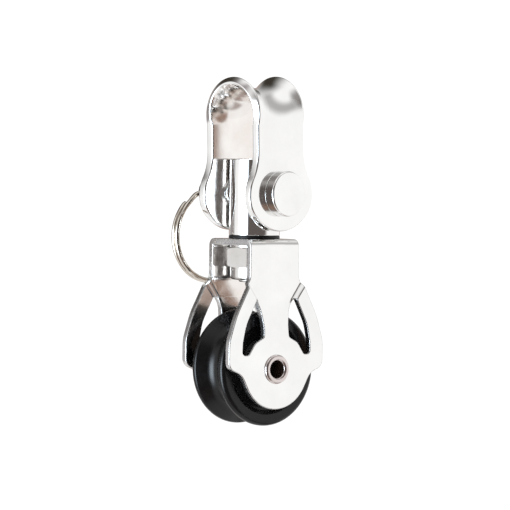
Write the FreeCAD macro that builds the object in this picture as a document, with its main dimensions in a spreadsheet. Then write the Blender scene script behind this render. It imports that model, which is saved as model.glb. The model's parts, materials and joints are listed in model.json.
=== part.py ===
import FreeCAD, Part
import Sketcher
import math
import os
from types import SimpleNamespace

# Single sheave block that hangs from a swivelling shackle.
#
# Frame: the origin is the centre of the sheave.  +X runs along the sheave's axle, +Y lies across the
# block, and +Z points up through the swivel.  All lengths are millimetres and all angles degrees.
#
# The block hangs a little turned: the post carries the pin and the shackle round by SWIVEL_TURN, the
# shackle leans by SHACKLE_LEAN about its pin, and the pin has rolled by PIN_ROLL with its ring.

SHEET = "Dimensions"

DIMENSIONS = {
    # Sheave: grooved wheel on a plain bush
    "sheave_radius": 15.0,
    "sheave_hub_half": 7.4,
    "sheave_hub_radius": 7.4,
    "sheave_web_half": 6.1,
    "sheave_web_rise": 1.0,
    "sheave_rim_half": 6.9,
    "sheave_rim_inner": 12.0,
    "sheave_crest_half": 5.1,
    "groove_root": 9.9,
    "groove_fillet": 4.0,
    "crest_round_inner": 0.8,
    "crest_round_outer": 1.3,
    "rim_foot_round": 0.4,
    "web_fillet": 0.6,
    "hub_edge_round": 0.3,
    "bush_outer": 5.5,
    "bush_inner": 4.5,
    "bush_half": 7.3,
    # Axle: hollow rivet with a spacer sleeve round it
    "axle_bore": 2.25,
    "axle_radius": 3.0,
    "axle_flange_radius": 3.81,
    "axle_flange_rise": 0.69,
    "axle_edge_round": 0.3,
    "side_washer_radius": 7.2,
    "side_washer_inner": 4.55,
    "running_gap": 0.05,
    "seat_gap": 0.02,
    # Cheek strap: one sheet bent over the swivel, whose spines spread outwards below the necks
    "sheet": 1.71,
    "neck_half": 9.1,
    "cheek_half": 10.29,
    "neck_width_half": 7.95,
    "bridge_top": 33.66,
    "bridge_bend": 2.0,
    "bridge_inner_bend": 0.4,
    "spread_top": 18.1,
    "spread_bottom": 8.0,
    "spread_bend": 3.0,
    "spread_foot": 3.0,
    "lobe_radius": 10.44,
    "leg_width_half": 15.35,
    "spine_width_half": 3.95,
    "joggle_width": 1.5,
    # Swivel
    "post_radius": 6.68,
    "post_top": 54.49,
    "shank_radius": 4.0,
    "shank_end": 22.3,
    "shank_end_round": 0.5,
    "post_foot_round": 0.2,
    "post_top_round": 0.35,
    "swivel_washer_thick": 0.8,
    "swivel_washer_round": 0.15,
    "nut_washer_thick": 0.5,
    "nut_washer_radius": 6.3,
    "nut_across_flats": 12.4,
    "nut_hex_bottom": 26.1,
    "nut_collar_radius": 6.2,
    "nut_collar_bottom": 22.9,
    "nut_collar_round": 0.9,
    "nut_chamfer": 0.45,
    "nut_lip_radius": 4.5,
    "nut_lip_thick": 0.5,
    "nut_pocket_radius": 5.2,
    "nut_pocket_top": 25.4,
    "lock_ring_height": 1.9,
    # Shackle
    "pin_height": 45.49,
    "shackle_half": 9.58,
    "shackle_shift": 0.35,
    "strap_thick": 2.3,
    "strap_width_half": 8.4,
    "ear_width_half": 11.55,
    "leg_top": 17.9,
    "crown_flare": 3.16,
    "crown_narrowing": 0.66,
    # Clevis pin and split ring
    "pin_radius": 3.8,
    "pin_head_radius": 5.92,
    "pin_head_length": 2.75,
    "pin_head_round": 0.5,
    "pin_head_foot_round": 0.2,
    "pin_tail": 18.8,
    "pin_tail_chamfer": 1.15,
    "pin_tail_side_round": 0.4,
    "pin_tail_end_round": 0.3,
    "ring_hole_radius": 2.05,
    "ring_hole_reach": 16.0,
    "ring_radius": 11.8,
    "ring_wire_radius": 0.7,
    "ring_coil_pitch": 1.35,
    "ring_rise": 0.25,
}

# Named corners of the outlines seen along the axle, on the +Y side: across, up, rounding radius
CORNERS = {
    # Edge of the neck and of the spine below it, from top to bottom
    "neck_foot": ("=neck_width_half", 23.6, 3.0),
    "spine_shoulder": (4.6, 15.2, 6.0),
    "spine_waist": ("=spine_width_half", 11.0, 8.0),
    "spine_foot": ("=spine_width_half", 2.0, 0),
    # Outer edge of a leg, from the crease down to the round lobe about the axle
    "leg_shoulder": (13.1, 14.0, 18.0),
    "leg_side_top": ("=leg_width_half", 7.2, 10.0),
    "leg_side_foot": ("=leg_width_half", 0.4, 2.6),
    "lobe_waist": (11.2, -1.2, 4.0),
    "lobe_join": (9.2, -4.93, 0),
    # Edge of a window, from the spine's foot round to the leg
    "window_spine_corner": (4.2, 8.3, 0.8),
    "window_over_lobe": (6.9, 6.9, 3.0),
    "window_foot_inner": (9.0, 3.8, 0.8),
    "window_foot_outer": (11.0, 3.8, 0.9),
    "window_leg_edge": (10.9, 7.0, 6.0),
    # Edge of a shackle ear from the strap down, with the pin at the origin
    "ear_neck": ("=strap_width_half", 7.4, 13.0),
    "ear_side_top": ("=ear_width_half", 2.05, 9.2),
    "ear_side_foot": ("=ear_width_half", -3.6, 7.1),
    "ear_bottom": (5.2, -9.75, 12.4),
}
CORNER_PARTS = ("across", "up", "rounding")

# Crease where each leg steps outwards from the neck: its outer end and its end at the window's apex
CREASE_OUTER = (9.05, 22.2)
CREASE_INNER = (6.1, 18.1)
WINDOW_APEX_ROUND = 0.4

# Resting angles: the swivel about Z, the shackle about its pin, the pin with its ring about the pin's
# own axis, and the ring in the pin's cross hole
SWIVEL_TURN = 7.5
SHACKLE_LEAN = 1.85
PIN_ROLL = -3.97
RING_YAW = -5.0

# How far a cutting outline reaches past the piece that it trims
OVERSHOOT = 1.0
# A cut that takes away less than this volume has missed
LEAST_CUT = 1.0

X_AXIS = FreeCAD.Vector(1, 0, 0)
Y_AXIS = FreeCAD.Vector(0, 1, 0)
Z_AXIS = FreeCAD.Vector(0, 0, 1)


class Size:
    """A length that knows its number and the spreadsheet expression that gives it."""

    def __init__(self, value, text=None):
        self.value = float(value)
        self.text = text or "(%r)" % float(value)

    def __add__(self, other):
        other = as_size(other)
        return Size(self.value + other.value, "(%s + %s)" % (self.text, other.text))

    def __sub__(self, other):
        other = as_size(other)
        return Size(self.value - other.value, "(%s - %s)" % (self.text, other.text))

    def __mul__(self, other):
        other = as_size(other)
        return Size(self.value * other.value, "(%s * %s)" % (self.text, other.text))

    def __truediv__(self, other):
        other = as_size(other)
        return Size(self.value / other.value, "(%s / %s)" % (self.text, other.text))

    def __rsub__(self, other):
        return as_size(other) - self

    def __neg__(self):
        return Size(-self.value, "(-1 * %s)" % self.text)

    __radd__ = __add__
    __rmul__ = __mul__


def as_size(item):
    return item if isinstance(item, Size) else Size(item)


doc = FreeCAD.newDocument("SheaveBlock")


def sheet_rows():
    """Every driving number by its name: the dimensions, then three numbers for each named corner."""
    rows = dict(DIMENSIONS)
    for name, numbers in CORNERS.items():
        for part, number in zip(CORNER_PARTS, numbers):
            rows["%s_%s" % (name, part)] = number
    return rows


def make_sheet():
    """Put the driving numbers in a spreadsheet and return them by name."""
    sheet = doc.addObject("Spreadsheet::Sheet", SHEET)
    rows = sheet_rows()
    for row, (alias, value) in enumerate(rows.items(), start=1):
        sheet.set("A%d" % row, alias)
        sheet.set("B%d" % row, str(value))
        sheet.setAlias("B%d" % row, alias)
    doc.recompute()
    names = {alias: Size(sheet.get(alias), "%s.%s" % (SHEET, alias)) for alias in rows}
    return SimpleNamespace(**names)


d = make_sheet()


def corner(name):
    """One named corner as (across, up, rounding radius)."""
    return tuple(getattr(d, "%s_%s" % (name, part)) for part in CORNER_PARTS)


# ---------------------------------------------------------------- sketches

def place_point(sketch, geometry, position, across, up):
    """Hold one point of a sketch at a distance across and up from the sketch's origin."""
    for kind, axis, length in (("DistanceX", -2, across), ("DistanceY", -1, up)):
        if length.value == 0:
            sketch.addConstraint(Sketcher.Constraint("PointOnObject", geometry, position, axis))
            continue
        limit = Sketcher.Constraint(kind, -1, 1, geometry, position, length.value)
        index = sketch.addConstraint(limit)
        sketch.setExpression("Constraints[%d]" % index, length.text)


def corner_arc(before, corner, after, radius):
    """The tangent arc that rounds a corner: its circle, its angles and whether it turns left."""
    inward = (before - corner).normalize()
    outward = (after - corner).normalize()
    half_angle = inward.getAngle(outward) / 2
    setback = radius / math.tan(half_angle)
    centre = corner + (inward + outward).normalize() * (radius / math.sin(half_angle))
    enter = corner + inward * setback
    leave = corner + outward * setback
    turns_left = (corner - before).cross(after - corner).z > 0
    first, last = (enter, leave) if turns_left else (leave, enter)
    angles = [math.atan2(point.y - centre.y, point.x - centre.x) for point in (first, last)]
    arc = Part.ArcOfCircle(Part.Circle(centre, Z_AXIS, radius), angles[0], angles[1])
    return arc, enter, leave, turns_left


def draw_outline(sketch, corners):
    """Draw a closed outline through corners (across, up, rounding radius)."""
    corners = [tuple(as_size(item) for item in corner) for corner in corners]
    points = [FreeCAD.Vector(across.value, up.value, 0) for across, up, _ in corners]
    count = len(points)
    arcs = {}
    enters = list(points)
    leaves = list(points)
    for index in range(count):
        radius = corners[index][2].value
        if radius > 0:
            before = points[index - 1]
            after = points[(index + 1) % count]
            rounded = corner_arc(before, points[index], after, radius)
            arc, enters[index], leaves[index], turns_left = rounded
            arcs[index] = (arc, turns_left)
    lines = [
        sketch.addGeometry(Part.LineSegment(leaves[index], enters[(index + 1) % count]))
        for index in range(count)
    ]
    for index, (across, up, radius) in enumerate(corners):
        line_in = lines[index - 1]
        line_out = lines[index]
        if index not in arcs:
            sketch.addConstraint(Sketcher.Constraint("Coincident", line_in, 2, line_out, 1))
            place_point(sketch, line_out, 1, across, up)
            continue
        arc, turns_left = arcs[index]
        bend = sketch.addGeometry(arc)
        start, end = (1, 2) if turns_left else (2, 1)
        mark = sketch.addGeometry(Part.Point(points[index]), True)
        sketch.addConstraint(Sketcher.Constraint("Tangent", line_in, 2, bend, start))
        sketch.addConstraint(Sketcher.Constraint("Tangent", bend, end, line_out, 1))
        sketch.addConstraint(Sketcher.Constraint("PointOnObject", mark, 1, line_in))
        sketch.addConstraint(Sketcher.Constraint("PointOnObject", mark, 1, line_out))
        place_point(sketch, mark, 1, across, up)
        held = sketch.addConstraint(Sketcher.Constraint("Radius", bend, radius.value))
        sketch.setExpression("Constraints[%d]" % held, radius.text)


def draw_circle(sketch, across, up, radius):
    centre = FreeCAD.Vector(as_size(across).value, as_size(up).value, 0)
    circle = sketch.addGeometry(Part.Circle(centre, Z_AXIS, radius.value))
    place_point(sketch, circle, 3, as_size(across), as_size(up))
    held = sketch.addConstraint(Sketcher.Constraint("Radius", circle, radius.value))
    sketch.setExpression("Constraints[%d]" % held, radius.text)


def both_sides(corners):
    """Corners of an outline that is the same on both sides, given from top to bottom on the + side."""
    mirrored = [(-1 * as_size(across), up, radius) for across, up, radius in reversed(corners)]
    return list(corners) + mirrored


# ---------------------------------------------------------------- bodies and plates

def make_body(label):
    body = doc.addObject("PartDesign::Body", label)
    body.Label = label
    return body


def body_sketch(body, name, role):
    """A sketch on one of the body's own origin planes."""
    sketch = body.newObject("Sketcher::SketchObject", name)
    plane = [feature for feature in body.Origin.OriginFeatures if feature.Role == role][0]
    sketch.AttachmentSupport = (plane, [""])
    sketch.MapMode = "FlatFace"
    return sketch


def turn_body(label, corners, axis):
    """A turned body: its half profile, drawn in the XZ plane, spun about X or Z."""
    body = make_body(label)
    sketch = body_sketch(body, label + "_profile", "XZ_Plane")
    draw_outline(sketch, corners)
    spin = body.newObject("PartDesign::Revolution", label + "_turned")
    spin.Profile = sketch
    spin.ReferenceAxis = (sketch, ["H_Axis" if axis == "X" else "V_Axis"])
    spin.Angle = 360
    doc.recompute()
    return body


def drill_through(body, name, role, across, up, radius):
    """Drill a round hole right through a body, along the normal of an origin plane."""
    sketch = body_sketch(body, name + "_circle", role)
    draw_circle(sketch, across, up, radius)
    before = body.Shape.Volume
    hole = body.newObject("PartDesign::Pocket", name)
    hole.Profile = sketch
    hole.Type = "ThroughAll"
    hole.Midplane = True
    doc.recompute()
    if body.Shape.Volume > before - LEAST_CUT:
        raise RuntimeError(name + " removed nothing")


def sketch_rotation(across, up):
    """The rotation that lays a sketch's own axes along two directions."""
    return FreeCAD.Rotation(across, up, across.cross(up), "XYZ")


def plate(name, corners, rotation, thickness, base=FreeCAD.Vector(), symmetric=False):
    """A flat piece: an outline drawn in a placed sketch and given a thickness along its normal."""
    sketch = doc.addObject("Sketcher::SketchObject", name + "_outline")
    sketch.Placement = FreeCAD.Placement(base, rotation)
    draw_outline(sketch, corners)
    solid = doc.addObject("Part::Extrusion", name)
    solid.Base = sketch
    solid.DirMode = "Normal"
    solid.Solid = True
    solid.Symmetric = symmetric
    solid.setExpression("LengthFwd", thickness.text)
    return solid


def cylinder_along_x(name, radius, start, length):
    """A cylinder on the X axis of its own frame, from start over length."""
    solid = doc.addObject("Part::Cylinder", name)
    solid.setExpression("Radius", radius.text)
    solid.setExpression("Height", length.text)
    solid.Placement = FreeCAD.Placement(X_AXIS * start.value, FreeCAD.Rotation(Z_AXIS, X_AXIS))
    return solid


def mirror_across(name, source, normal):
    """The mirror image of a solid on the other side of the origin."""
    image = doc.addObject("Part::Mirroring", name)
    image.Source = source
    image.Normal = normal
    return image


def fuse(name, pieces):
    joined = doc.addObject("Part::MultiFuse", name)
    joined.Shapes = pieces
    joined.Refine = True
    return joined


def cut(name, base, tool):
    remaining = doc.addObject("Part::Cut", name)
    remaining.Base = base
    remaining.Tool = tool
    remaining.Refine = True
    return remaining


ACROSS_BLOCK = sketch_rotation(Y_AXIS, Z_AXIS)
ALONG_AXLE = sketch_rotation(X_AXIS, Z_AXIS)


def turn_in_place(axis, angle):
    """The placement that turns a piece about an axis through the origin."""
    return FreeCAD.Placement(FreeCAD.Vector(), FreeCAD.Rotation(axis, angle))


SWIVEL_PLACE = turn_in_place(Z_AXIS, SWIVEL_TURN)
# The shackle has a little play along its pin and rests towards the pin's head
PIN_SHIFT = FreeCAD.Placement(X_AXIS * d.shackle_shift.value, FreeCAD.Rotation())
PIN_LIFT = FreeCAD.Placement(Z_AXIS * d.pin_height.value, FreeCAD.Rotation())
PIN_PLACE = PIN_LIFT.multiply(SWIVEL_PLACE).multiply(PIN_SHIFT)
ROLLED_PIN_PLACE = PIN_PLACE.multiply(turn_in_place(X_AXIS, PIN_ROLL))
SHACKLE_PLACE = PIN_PLACE.multiply(turn_in_place(X_AXIS, SHACKLE_LEAN))


# ---------------------------------------------------------------- sheave and axle

def make_sheave():
    """Grooved wheel: hub, thinner web, thick rim with rounded crests and a rope groove."""
    right = [
        (d.sheave_crest_half, d.sheave_radius, d.crest_round_inner),
        (d.sheave_rim_half, d.sheave_radius, d.crest_round_outer),
        (d.sheave_rim_half, d.sheave_rim_inner, d.rim_foot_round),
        (d.sheave_web_half, d.sheave_rim_inner - d.sheave_web_rise, d.web_fillet),
        (d.sheave_web_half, d.sheave_hub_radius + d.sheave_web_rise, d.web_fillet),
        (d.sheave_hub_half, d.sheave_hub_radius, d.hub_edge_round),
        (d.sheave_hub_half, d.bush_outer + d.seat_gap, 0),
    ]
    return turn_body("sheave", both_sides(right) + [(0, d.groove_root, d.groove_fillet)], "X")


def make_ring_about_x(label, inner, outer, start, end):
    """A plain turned ring on the X axis."""
    corners = [
        (start, inner, 0),
        (end, inner, 0),
        (end, outer, 0),
        (start, outer, 0),
    ]
    return turn_body(label, corners, "X")


def make_axle_tube():
    """Hollow rivet whose flared ends hold both cheeks."""
    flange_top = d.cheek_half + d.axle_flange_rise
    right = [
        (flange_top, d.axle_flange_radius, d.axle_edge_round),
        (d.cheek_half + d.seat_gap, d.axle_flange_radius, 0),
        (d.cheek_half + d.seat_gap, d.axle_radius, 0),
    ]
    left = [(-across, up, radius) for across, up, radius in reversed(right)]
    bore = [
        (-flange_top, d.axle_bore, d.axle_edge_round),
        (flange_top, d.axle_bore, d.axle_edge_round),
    ]
    return turn_body("axle_tube", right + left + bore, "X")


# ---------------------------------------------------------------- cheek strap

def make_strap_profile():
    """The bent sheet seen along Y: bridge, two bends, straight necks, and spreading spines."""
    outer = [
        (d.neck_half, d.bridge_top, d.bridge_bend),
        (d.neck_half, d.spread_top, d.spread_bend),
        (d.cheek_half, d.spread_bottom, d.spread_bend),
        (d.cheek_half, d.spread_foot, 0),
    ]
    inner = [
        (d.cheek_half - d.sheet, d.spread_foot, 0),
        (d.cheek_half - d.sheet, d.spread_bottom, d.spread_bend),
        (d.neck_half - d.sheet, d.spread_top, d.spread_bend),
        (d.neck_half - d.sheet, d.bridge_top - d.sheet, d.bridge_inner_bend),
    ]
    corners = both_sides(outer + inner)
    return plate("strap_profile", corners, ALONG_AXLE, d.leg_width_half * 2, symmetric=True)


def crease_points(shift):
    """The crease's two ends, moved by shift towards the leg."""
    ends = [FreeCAD.Vector(across, up, 0) for across, up in (CREASE_OUTER, CREASE_INNER)]
    run = (ends[1] - ends[0]).normalize()
    towards_leg = FreeCAD.Vector(-run.y, run.x, 0)
    return [end + towards_leg * shift for end in ends]


def make_neck_outline():
    """The neck and the narrow spine seen along X, used to trim the bent sheet."""
    outer_end, inner_end = crease_points(-d.joggle_width.value / 2)
    right = [
        (d.neck_width_half, d.bridge_top + OVERSHOOT, 0),
        corner("neck_foot"),
        (outer_end.x, outer_end.y, 0),
        (inner_end.x, inner_end.y, WINDOW_APEX_ROUND),
        corner("spine_shoulder"),
        corner("spine_waist"),
        corner("spine_foot"),
    ]
    return plate("neck_trim", both_sides(right), ACROSS_BLOCK, d.cheek_half * 3, symmetric=True)


def make_leg_plate():
    """One cheek's two legs and the ring that joins them round the axle, seen along X."""
    outer_end, inner_end = crease_points(d.joggle_width.value / 2)
    outside = [
        (outer_end.x, outer_end.y, 0),
        corner("leg_shoulder"),
        corner("leg_side_top"),
        corner("leg_side_foot"),
        corner("lobe_waist"),
        corner("lobe_join"),
    ]
    inside = [
        corner("window_spine_corner"),
        corner("window_over_lobe"),
        corner("window_foot_inner"),
        corner("window_foot_outer"),
        corner("window_leg_edge"),
        (inner_end.x, inner_end.y, 0),
    ]
    left_inside = [(-across, up, radius) for across, up, radius in reversed(inside)]
    corners = both_sides(outside) + left_inside + inside
    inner_face = d.cheek_half - d.sheet
    return plate("leg_plate", corners, ACROSS_BLOCK, d.sheet, base=X_AXIS * inner_face.value)


def make_joggle():
    """The sloping strip between the neck's plane and one leg's plane, along the crease."""
    outer_end, inner_end = crease_points(0)
    run = FreeCAD.Vector(0, inner_end.x - outer_end.x, inner_end.y - outer_end.y)
    length = Size(run.Length)
    run.normalize()
    # The strip's own axes: across the crease towards the leg, then out along +X
    towards_leg = X_AXIS.cross(run)
    rotation = FreeCAD.Rotation(towards_leg, X_AXIS, towards_leg.cross(X_AXIS), "XYZ")
    start = inner_end if towards_leg.cross(X_AXIS).dot(run) < 0 else outer_end
    reach = d.joggle_width / 2
    corners = [
        (-reach, d.neck_half - d.sheet, 0),
        (reach, d.cheek_half - d.sheet, 0),
        (reach, d.cheek_half, 0),
        (-reach, d.neck_half, 0),
    ]
    return plate("joggle", corners, rotation, length, base=FreeCAD.Vector(0, start.x, start.y))


def make_cheek_strap():
    """One bent sheet: a bridge over the swivel nut, and a neck and cheek on each side of the sheave."""
    core = doc.addObject("Part::Common", "neck_and_spine")
    core.Base = make_strap_profile()
    core.Tool = make_neck_outline()
    legs = make_leg_plate()
    lobe = cylinder_along_x("lobe", d.lobe_radius, d.cheek_half - d.sheet, d.sheet)
    joggle = make_joggle()
    joggle_other = mirror_across("joggle_other_leg", joggle, Y_AXIS)
    cheek = fuse("cheek_near", [legs, lobe, joggle, joggle_other])
    cheek_far = mirror_across("cheek_far", cheek, X_AXIS)
    whole = fuse("strap_whole", [core, cheek, cheek_far])
    rivet_hole = cylinder_along_x(
        "rivet_hole", d.axle_radius + d.seat_gap, -2 * d.cheek_half, 4 * d.cheek_half
    )
    drilled = cut("strap_drilled", whole, rivet_hole)
    swivel_hole = doc.addObject("Part::Cylinder", "swivel_hole")
    swivel_hole.setExpression("Radius", (d.shank_radius + d.running_gap).text)
    swivel_hole.setExpression("Height", (d.sheet * 3).text)
    swivel_hole.Placement.Base = Z_AXIS * (d.bridge_top - 2 * d.sheet).value
    strap = cut("cheek_strap", drilled, swivel_hole)
    strap.Label = "cheek_strap"
    return strap


# ---------------------------------------------------------------- swivel

def make_swivel_post():
    """Round post with a cross bore for the pin, and a threaded shank below it."""
    shoulder = d.bridge_top + d.swivel_washer_thick + d.running_gap
    corners = [
        (0, d.shank_end, 0),
        (d.shank_radius, d.shank_end, d.shank_end_round),
        (d.shank_radius, shoulder, 0),
        (d.post_radius, shoulder, d.post_foot_round),
        (d.post_radius, d.post_top, d.post_top_round),
        (0, d.post_top, 0),
    ]
    body = turn_body("swivel_post", corners, "Z")
    drill_through(body, "pin_bore", "YZ_Plane", 0, d.pin_height, d.pin_radius + d.running_gap)
    body.Placement = SWIVEL_PLACE
    return body


def make_ring_about_z(label, inner, outer, bottom, top, rounding=0.0):
    """A plain turned ring on the Z axis."""
    corners = [
        (inner, bottom, 0),
        (outer, bottom, rounding),
        (outer, top, rounding),
        (inner, top, 0),
    ]
    return turn_body(label, corners, "Z")


def make_lock_nut():
    """Hexagon nut with a round collar below that holds a locking ring."""
    top = d.bridge_top - d.sheet - d.nut_washer_thick - 2 * d.running_gap
    corner_radius = d.nut_across_flats / math.sqrt(3)
    bore = d.shank_radius + d.seat_gap
    lip_top = d.nut_collar_bottom + d.nut_lip_thick
    profile = [
        (bore, top, 0),
        (d.nut_across_flats / 2, top, 0),
        (corner_radius, top - d.nut_chamfer, 0),
        (corner_radius, d.nut_hex_bottom + d.nut_chamfer, 0),
        (d.nut_collar_radius, d.nut_hex_bottom, 0),
        (d.nut_collar_radius, d.nut_collar_bottom, d.nut_collar_round),
        (d.nut_lip_radius, d.nut_collar_bottom, 0),
        (d.nut_lip_radius, lip_top, 0),
        (d.nut_pocket_radius, lip_top, 0),
        (d.nut_pocket_radius, d.nut_pocket_top, 0),
        (bore, d.nut_pocket_top, 0),
    ]
    body = turn_body("lock_nut", profile, "Z")
    # Flats: everything outside a hexagon is taken off above the collar
    sketch = body_sketch(body, "nut_flats", "XY_Plane")
    sketch.AttachmentOffset = FreeCAD.Placement(Z_AXIS * d.nut_hex_bottom.value, FreeCAD.Rotation())
    draw_circle(sketch, 0, 0, corner_radius * 2)
    flat_half = d.nut_across_flats / 2
    hexagon = [
        (corner_radius / 2, flat_half, 0),
        (corner_radius, 0, 0),
        (corner_radius / 2, -flat_half, 0),
        (-corner_radius / 2, -flat_half, 0),
        (-corner_radius, 0, 0),
        (-corner_radius / 2, flat_half, 0),
    ]
    draw_outline(sketch, hexagon)
    before = body.Shape.Volume
    flats = body.newObject("PartDesign::Pocket", "flats_cut")
    flats.Profile = sketch
    flats.Reversed = True
    flats.setExpression("Length", (top - d.nut_hex_bottom + OVERSHOOT).text)
    doc.recompute()
    if body.Shape.Volume > before - LEAST_CUT:
        raise RuntimeError("the nut's flats removed nothing")
    # Two opposite corners point at the pin's ends
    body.Placement = SWIVEL_PLACE
    return body


def make_lock_ring():
    """Plastic locking ring inside the nut's collar."""
    bottom = d.nut_collar_bottom + d.nut_lip_thick + d.seat_gap
    inner = d.shank_radius + d.seat_gap
    outer = d.nut_pocket_radius - d.seat_gap
    ring = make_ring_about_z("lock_nut_insert", inner, outer, bottom, bottom + d.lock_ring_height)
    ring.Placement = SWIVEL_PLACE
    return ring


# ---------------------------------------------------------------- shackle, pin and ring

def crown_section(angle, flare, narrowing):
    """The strap's cross-section at an angle round the crown, as a closed wire.

    The strap is a saddle: its two edges stand further out than its middle by flare.
    """
    outer = d.shackle_half.value
    thick = d.strap_thick.value
    half_chord = d.strap_width_half.value - narrowing
    arc_radius = (half_chord ** 2 + flare ** 2) / (2 * flare)
    spread = math.asin(half_chord / arc_radius)
    radial = FreeCAD.Vector(math.cos(angle), 0, math.sin(angle))
    base = Z_AXIS * d.leg_top.value

    def surface_arc(radius):
        def at(turn):
            out = outer + arc_radius - radius * math.cos(turn)
            return base + radial * out + Y_AXIS * (radius * math.sin(turn))
        return Part.Arc(at(-spread), at(0), at(spread)).toShape()

    outside = surface_arc(arc_radius)
    inside = surface_arc(arc_radius + thick)
    ends = [(outside.Vertexes[i].Point, inside.Vertexes[i].Point) for i in (0, 1)]
    sides = [Part.makeLine(*pair) for pair in ends]
    return Part.Wire(Part.__sortEdges__([outside, sides[1], inside, sides[0]]))


def make_crown():
    """The shackle's rounded top, lofted from one leg over to the other."""
    steps = 12
    least_flare = 0.02
    sections = []
    for step in range(steps + 1):
        angle = math.pi * step / steps
        rise = math.sin(angle)
        flare = least_flare + (d.crown_flare.value - least_flare) * rise
        section = doc.addObject("Part::Feature", "crown_section_%02d" % step)
        section.Shape = crown_section(angle, flare, d.crown_narrowing.value * rise)
        sections.append(section)
    crown = doc.addObject("Part::Loft", "crown")
    crown.Sections = sections
    crown.Solid = True
    crown.Ruled = False
    return crown


def make_shackle_strap():
    """Bent strap: two broad ears on the pin, two legs and a flared crown."""
    right = [
        (d.strap_width_half, d.leg_top, 0),
        corner("ear_neck"),
        corner("ear_side_top"),
        corner("ear_side_foot"),
        corner("ear_bottom"),
    ]
    base = X_AXIS * (d.shackle_half - d.strap_thick).value
    side = plate("shackle_side", both_sides(right), ACROSS_BLOCK, d.strap_thick, base=base)
    other_side = mirror_across("shackle_other_side", side, X_AXIS)
    whole = fuse("shackle_whole", [side, other_side, make_crown()])
    pin_hole = cylinder_along_x(
        "pin_hole", d.pin_radius + d.running_gap, -2 * d.shackle_half, 4 * d.shackle_half
    )
    strap = cut("shackle_strap", whole, pin_hole)
    strap.Label = "shackle_strap"
    strap.Placement = SHACKLE_PLACE
    return strap


def make_clevis_pin():
    """Headed pin with a cross hole near its tail for the split ring."""
    under_head = d.shackle_half + d.running_gap
    head_end = d.shackle_half + d.pin_head_length
    corners = [
        (-d.pin_tail, 0, 0),
        (head_end, 0, 0),
        (head_end, d.pin_head_radius, d.pin_head_round),
        (under_head, d.pin_head_radius, d.pin_head_foot_round),
        (under_head, d.pin_radius, 0),
        (-d.pin_tail + d.pin_tail_chamfer, d.pin_radius, d.pin_tail_side_round),
        (-d.pin_tail, d.pin_radius - d.pin_tail_chamfer, d.pin_tail_end_round),
    ]
    body = turn_body("clevis_pin", corners, "X")
    drill_through(body, "ring_hole", "XZ_Plane", -d.ring_hole_reach, 0, d.ring_hole_radius)
    body.Placement = ROLLED_PIN_PLACE
    return body


def make_split_ring():
    """Two coils of round wire side by side, hung from the pin's cross hole and turned a little in it."""
    coils = []
    drop = d.ring_rise.value - d.ring_radius.value
    for name, side in (("ring_coil_inner", 1), ("ring_coil_outer", -1)):
        coil = doc.addObject("Part::Torus", name)
        coil.setExpression("Radius1", d.ring_radius.text)
        coil.setExpression("Radius2", d.ring_wire_radius.text)
        middle = FreeCAD.Vector(side * d.ring_coil_pitch.value / 2, 0, drop)
        coil.Placement = FreeCAD.Placement(middle, FreeCAD.Rotation(Z_AXIS, X_AXIS))
        coils.append(coil)
    ring = fuse("split_ring", coils)
    ring.Label = "split_ring"
    hole_centre = -X_AXIS * d.ring_hole_reach.value
    hang = FreeCAD.Placement(hole_centre, FreeCAD.Rotation(Z_AXIS, RING_YAW))
    ring.Placement = ROLLED_PIN_PLACE.multiply(hang)
    return ring


def make_side_washer(label, start, end):
    return make_ring_about_x(label, d.side_washer_inner, d.side_washer_radius, start, end)


def make_axle_parts():
    """The rivet, and the sleeve, bush and side washers that the cheeks hide."""
    cheek_inner = d.cheek_half - d.sheet
    sleeve_half = cheek_inner - d.seat_gap
    sleeve_bore = d.axle_radius + d.seat_gap
    sleeve_outer = d.bush_inner - d.running_gap
    washer_start = d.sheave_hub_half + d.running_gap
    washer_end = cheek_inner - d.running_gap
    return [
        make_axle_tube(),
        make_ring_about_x("axle_sleeve", sleeve_bore, sleeve_outer, -sleeve_half, sleeve_half),
        make_ring_about_x("sheave_bush", d.bush_inner, d.bush_outer, -d.bush_half, d.bush_half),
        make_side_washer("side_washer_near", washer_start, washer_end),
        make_side_washer("side_washer_far", -washer_end, -washer_start),
    ]


def make_bridge_washers():
    """The washers above and below the strap's bridge."""
    bore = d.shank_radius + d.running_gap
    above = d.bridge_top + d.swivel_washer_thick
    under = d.bridge_top - d.sheet
    rounding = d.swivel_washer_round
    return [
        make_ring_about_z("swivel_washer", bore, d.post_radius, d.bridge_top, above, rounding),
        make_ring_about_z("nut_washer", bore, d.nut_washer_radius, under - d.nut_washer_thick, under),
    ]


def make_all():
    nodes = [make_sheave(), make_cheek_strap()]
    nodes += make_axle_parts()
    nodes += make_bridge_washers()
    nodes += [make_swivel_post(), make_lock_nut(), make_lock_ring()]
    nodes += [make_shackle_strap(), make_clevis_pin(), make_split_ring()]
    return nodes


def check_and_write(nodes):
    """Stop on any failed feature or bad solid, then write one STEP file for each piece."""
    doc.recompute()
    for item in doc.Objects:
        if "Invalid" in item.State or "Error" in item.State:
            raise RuntimeError("%s failed: %s" % (item.Label, item.State))
    for node in nodes:
        if node.Shape.isNull() or not node.Shape.isValid() or len(node.Shape.Solids) != 1:
            raise RuntimeError("%s is not one valid solid" % node.Label)
    os.makedirs("parts", exist_ok=True)
    for node in nodes:
        node.Shape.exportStep(os.path.join("parts", node.Label + ".step"))
        box = node.Shape.BoundBox
        print("%-18s volume %8.1f  x %.2f..%.2f  y %.2f..%.2f  z %.2f..%.2f" % (
            node.Label, node.Shape.Volume, box.XMin, box.XMax, box.YMin, box.YMax, box.ZMin, box.ZMax))


check_and_write(make_all())
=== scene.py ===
import bmesh
import bpy
import json
import math
from mathutils import Matrix, Vector


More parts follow.
